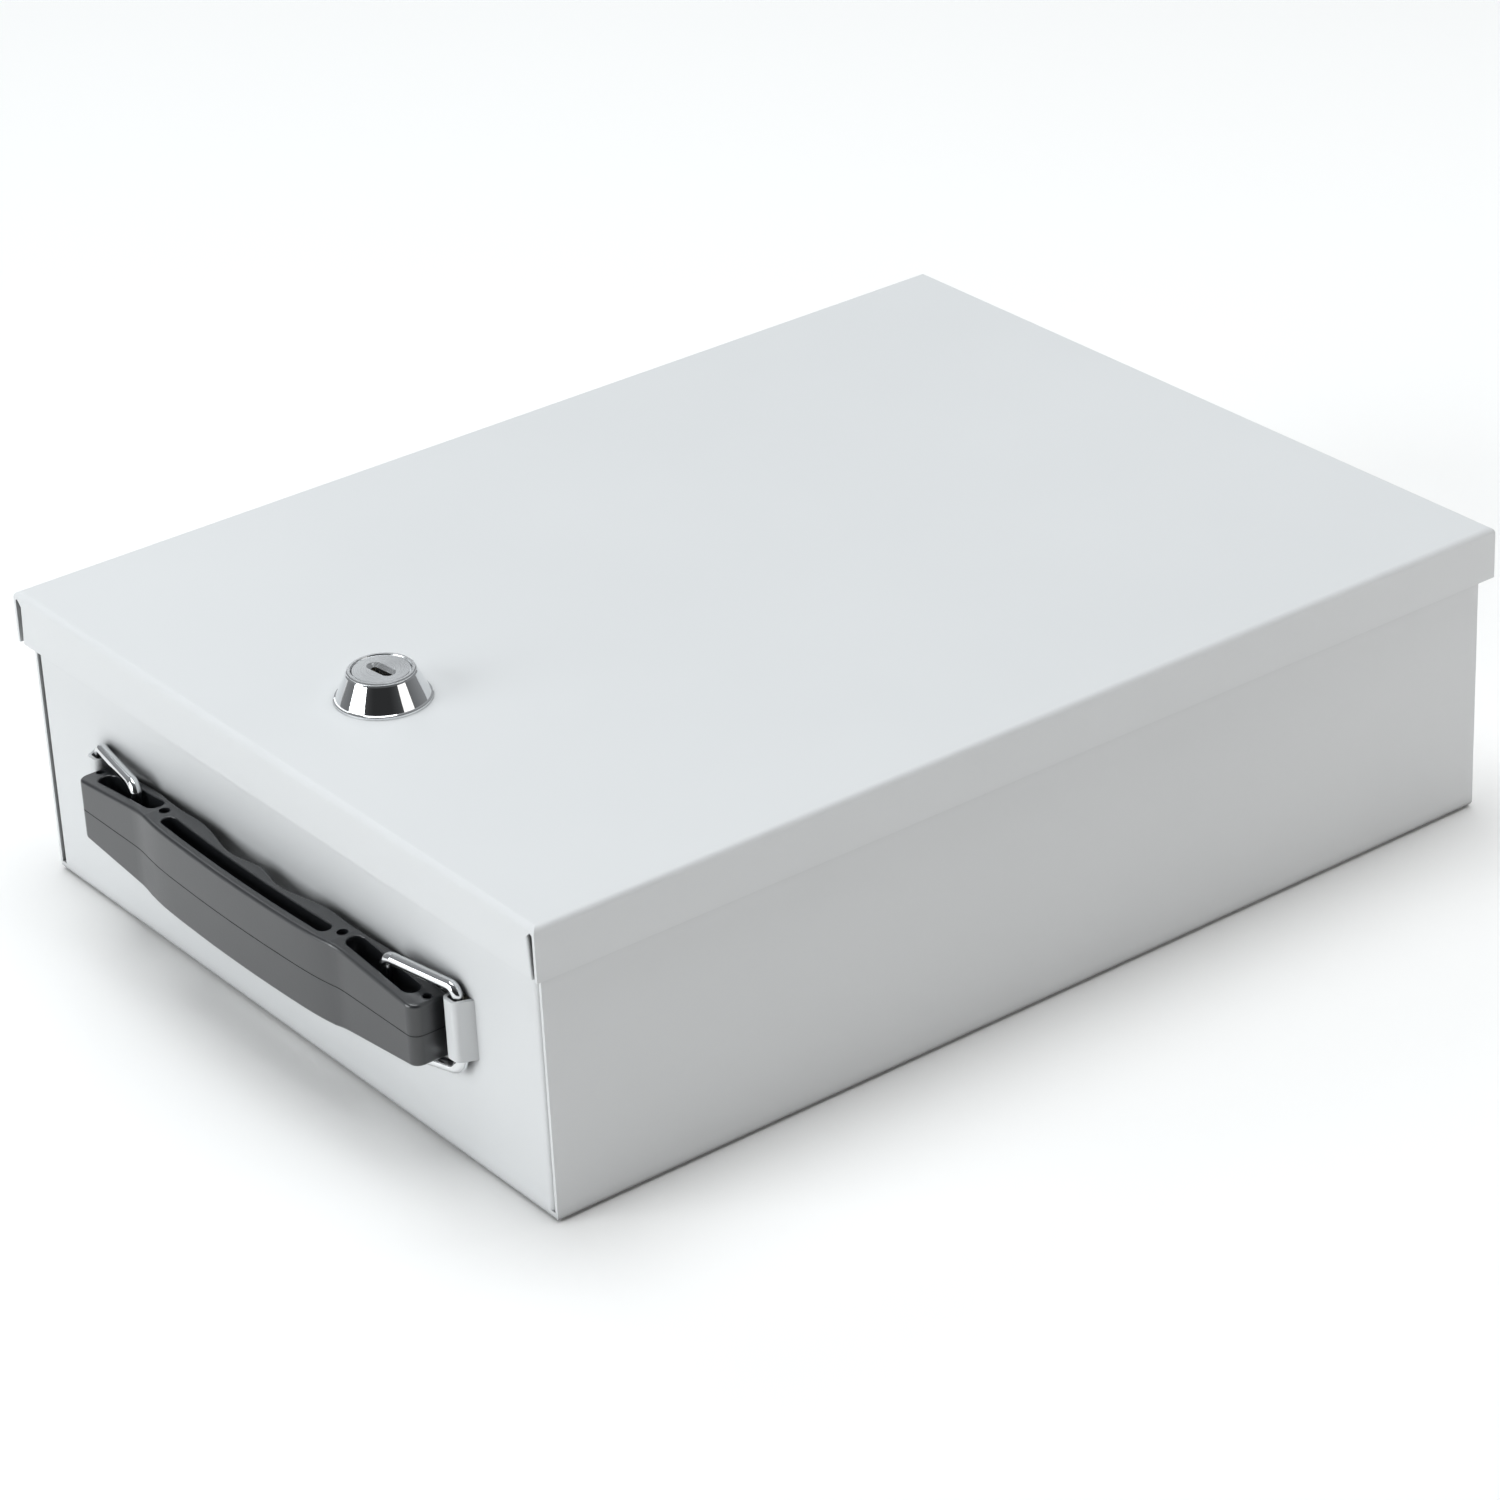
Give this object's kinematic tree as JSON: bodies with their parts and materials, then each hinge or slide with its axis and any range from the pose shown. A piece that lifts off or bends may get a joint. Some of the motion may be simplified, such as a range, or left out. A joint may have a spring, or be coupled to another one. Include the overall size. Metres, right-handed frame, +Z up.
{
  "type": "fireproof document box",
  "caption": "Flat double-walled steel box with a hinged overlapping lid, a cylinder cam lock with conical collar in the lid, and a pull-out moulded grip on wire rings at the short front side.",
  "frame": {"origin": "middle of the underside of the body, at the height of the surface it stands on", "axes": "+X to the right across the short front side, +Y from the front with the handle to the hinges at the rear, +Z up"},
  "size_m": [0.205, 0.2829, 0.0799],
  "materials": {
    "shell_paint": "light grey semi-gloss powder coat",
    "insulation": "matt paper-faced gypsum board",
    "seal": "matt heat-swelling strip",
    "zinc_plate": "zinc-plated",
    "pin_steel": "plain bright steel",
    "lock_chrome": "polished chrome plate",
    "lock_satin": "satin nickel-chrome plate",
    "brass": "stamped",
    "grip_plastic": "black satin moulding",
    "ring_chrome": "bright chrome plate"
  },
  "bodies": {
    "box": {"body_shell": "shell_paint", "inner_liner": "shell_paint", "insulation_base": "insulation", "insulation_front": "insulation", "insulation_rear": "insulation", "insulation_left": "insulation", "insulation_right": "insulation", "rim_seal": "seal", "strike_plate": "zinc_plate", "strike_rivets": "zinc_plate", "hinge_left_body_leaf": "shell_paint", "hinge_right_body_leaf": "shell_paint", "hinge_left_pin": "pin_steel", "hinge_right_pin": "pin_steel"},
    "lid": {"lid_shell": "shell_paint", "lid_inner_pan": "shell_paint", "lid_insulation": "insulation", "hinge_left_lid_leaf": "shell_paint", "hinge_right_lid_leaf": "shell_paint", "lock_rosette": "lock_chrome", "lock_housing": "lock_satin", "lock_nut": "zinc_plate", "lock_washer": "zinc_plate"},
    "lock_rotor": {"lock_plug": "lock_satin", "wafer_tumblers": "brass", "wafer_springs": "pin_steel", "lock_cam": "zinc_plate", "cam_washer": "zinc_plate", "cam_screw": "zinc_plate"},
    "grip": {"handle_grip": "grip_plastic"},
    "left_ring": {"ring_left": "ring_chrome"},
    "right_ring": {"ring_right": "ring_chrome"}
  },
  "joints": [
    {"name": "lid_hinge", "type": "hinge", "parent": "box", "child": "lid", "pos_m": [0, 0.1353, 0.057], "axis": [-1, 0, 0], "range_deg": [0, 105]},
    {"name": "lock_turn", "type": "hinge", "parent": "lid", "child": "lock_rotor", "pos_m": [-0.0012, -0.101, 0.0728], "axis": [0, 0, -1], "range_deg": [0, 90]},
    {"name": "grip_pull", "type": "slide", "parent": "box", "child": "grip", "axis": [0, -1, 0], "range_m": [0, 0.014]},
    {"name": "ring_right_swing", "type": "hinge", "parent": "box", "child": "right_ring", "pos_m": [0.07115, -0.13425, 0.0336], "axis": [0, 0, 1], "range_deg": [0, 45.1]},
    {"name": "ring_left_swing", "type": "hinge", "parent": "box", "child": "left_ring", "pos_m": [-0.07115, -0.13425, 0.0336], "axis": [0, 0, -1], "range_deg": [0, 45.1]}
  ],
  "couplings": [
    {"joint": "ring_right_swing", "follows": "grip_pull", "rad_per_m": 56.11},
    {"joint": "ring_left_swing", "follows": "grip_pull", "rad_per_m": 56.11}
  ]
}
